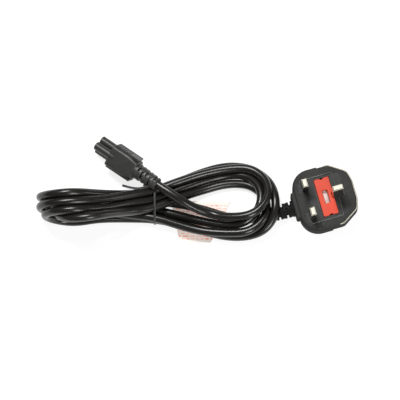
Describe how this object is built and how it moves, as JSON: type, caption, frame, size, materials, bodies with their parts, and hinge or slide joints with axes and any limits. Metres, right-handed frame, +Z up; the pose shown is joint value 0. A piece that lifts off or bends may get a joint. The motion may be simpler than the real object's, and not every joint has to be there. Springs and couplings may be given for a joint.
{
  "type": "uk three pin plug with mains lead",
  "caption": "Moulded UK three pin plug with a red fuse carrier, on a hank of black flex tied with a twist tie, with a three pole appliance connector at its far end.",
  "frame": {"origin": "on the surface under the plug's flat back, below the middle of the line and neutral pins", "axes": "+X from the plug's cord outlet to its earth pin, +Y from the neutral to the line pin, +Z up along the pins"},
  "size_m": [0.2326, 0.1149, 0.0435],
  "materials": {
    "housing_plastic": "satin moulded flexible plastic, near black",
    "bridge_plastic": "satin rigid plastic, charcoal",
    "sleeve_plastic": "satin black insulating sleeve",
    "pin_metal": "bright plated metal",
    "contact_metal": "bare sheet metal",
    "carrier_plastic": "satin red plastic",
    "fuse_ceramic": "off-white, unglazed",
    "fuse_metal": "plated end cap",
    "core_brown": "brown core insulation",
    "core_blue": "blue core insulation",
    "core_striped": "green and yellow core insulation",
    "flex_plastic": "semi-gloss black sheath",
    "connector_plastic": "satin moulded flexible plastic, dark grey",
    "nose_plastic": "satin rigid plastic, near black",
    "tie_plastic": "dark plastic-covered wire",
    "tag_paper": "matt white with faint red bars"
  },
  "bodies": {
    "lead": {"plug_body": "housing_plastic", "pin_bridge": "bridge_plastic", "line_pin": "pin_metal", "neutral_pin": "pin_metal", "earth_pin": "pin_metal", "line_sleeve": "sleeve_plastic", "neutral_sleeve": "sleeve_plastic", "fuse_clip_pin": "contact_metal", "fuse_clip_cord": "contact_metal", "line_core": "core_brown", "neutral_core": "core_blue", "earth_core": "core_striped", "connector_body": "connector_plastic", "connector_nose": "nose_plastic", "contact_line": "contact_metal", "contact_neutral": "contact_metal", "contact_earth": "contact_metal", "connector_line_core": "core_brown", "connector_neutral_core": "core_blue", "connector_earth_core": "core_striped", "cord_plug_lead": "flex_plastic", "cord_connector_lead": "flex_plastic", "cord_hank": "flex_plastic", "twist_tie": "tie_plastic", "paper_tag": "tag_paper"},
    "carrier": {"fuse_carrier": "carrier_plastic", "fuse_tube": "fuse_ceramic", "fuse_cap_line": "fuse_metal", "fuse_cap_cord": "fuse_metal", "fuse_element": "contact_metal"}
  },
  "joints": [
    {"name": "carrier_pull", "type": "slide", "parent": "lead", "child": "carrier", "axis": [0, 0, 1], "range_m": [0, 0.012]}
  ]
}
